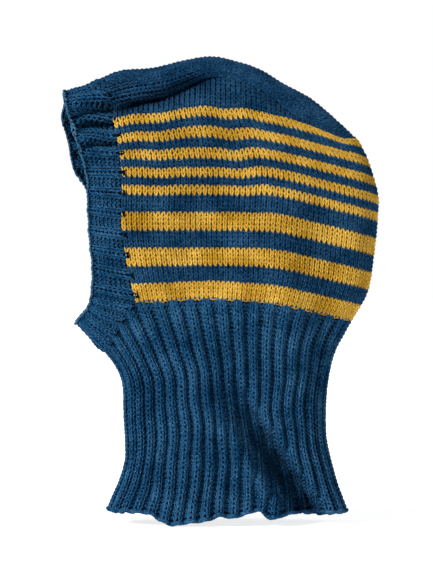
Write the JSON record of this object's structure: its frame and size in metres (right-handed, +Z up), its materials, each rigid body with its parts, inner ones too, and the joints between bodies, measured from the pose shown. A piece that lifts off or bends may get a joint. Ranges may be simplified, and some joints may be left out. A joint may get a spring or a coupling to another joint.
{
  "type": "balaclava",
  "caption": "Hand-knitted wool hood covering head and neck, with a ribbed neck, striped sides, a crown strip and a ribbed band round an open face.",
  "frame": {"origin": "centre of the wearer's head inside the hood, at the mount head", "axes": "+Z up, -X the way the face looks, +X the back of the head, -Y the wearer's left side"},
  "size_m": [0.2721, 0.11, 0.3934],
  "materials": {
    "blue_wool": "matte double-knitting wool, petrol blue, heathered and slightly fuzzy",
    "cast_off_wool": "the same blue wool in the tight cast-off chain, which catches more light",
    "yellow_wool": "matte double-knitting wool, mustard yellow, slightly fuzzy"
  },
  "bodies": {
    "hood": {"neck_ribbing": "blue_wool", "cast_on_edge": "blue_wool", "upper_side_left": "blue_wool", "upper_side_right": "blue_wool", "crown_strip": "blue_wool", "face_band_left": "blue_wool", "face_band_right": "blue_wool", "pick_up_ridge_left": "blue_wool", "pick_up_ridge_right": "blue_wool", "crown_join_left": "blue_wool", "crown_join_right": "blue_wool", "blue_band_1": "blue_wool", "blue_band_2": "blue_wool", "blue_band_3": "blue_wool", "blue_band_4": "blue_wool", "blue_band_5": "blue_wool", "blue_band_6": "blue_wool", "blue_band_7": "blue_wool", "face_cast_off_left": "cast_off_wool", "face_cast_off_right": "cast_off_wool", "yellow_stripe_1": "yellow_wool", "yellow_stripe_2": "yellow_wool", "yellow_stripe_3": "yellow_wool", "yellow_stripe_4": "yellow_wool", "yellow_stripe_5": "yellow_wool", "yellow_stripe_6": "yellow_wool", "yellow_stripe_7": "yellow_wool", "yellow_stripe_8": "yellow_wool", "carried_yellow_yarn": "yellow_wool"},
    "forehead_brim": {"forehead_band": "blue_wool", "forehead_cast_off": "cast_off_wool"},
    "chin_flap": {"chin_band": "blue_wool", "chin_cast_off": "cast_off_wool"}
  },
  "joints": [
    {"name": "forehead_fold", "type": "hinge", "parent": "hood", "child": "forehead_brim", "pos_m": [-0.1135, 0, 0.103], "axis": [0, 1, 0], "range_deg": [0, 70], "stiffness_Nm_per_rad": 0.04},
    {"name": "chin_fold", "type": "hinge", "parent": "hood", "child": "chin_flap", "pos_m": [-0.1108, 0, -0.1298], "axis": [0, -1, 0], "range_deg": [0, 80], "stiffness_Nm_per_rad": 0.04}
  ]
}
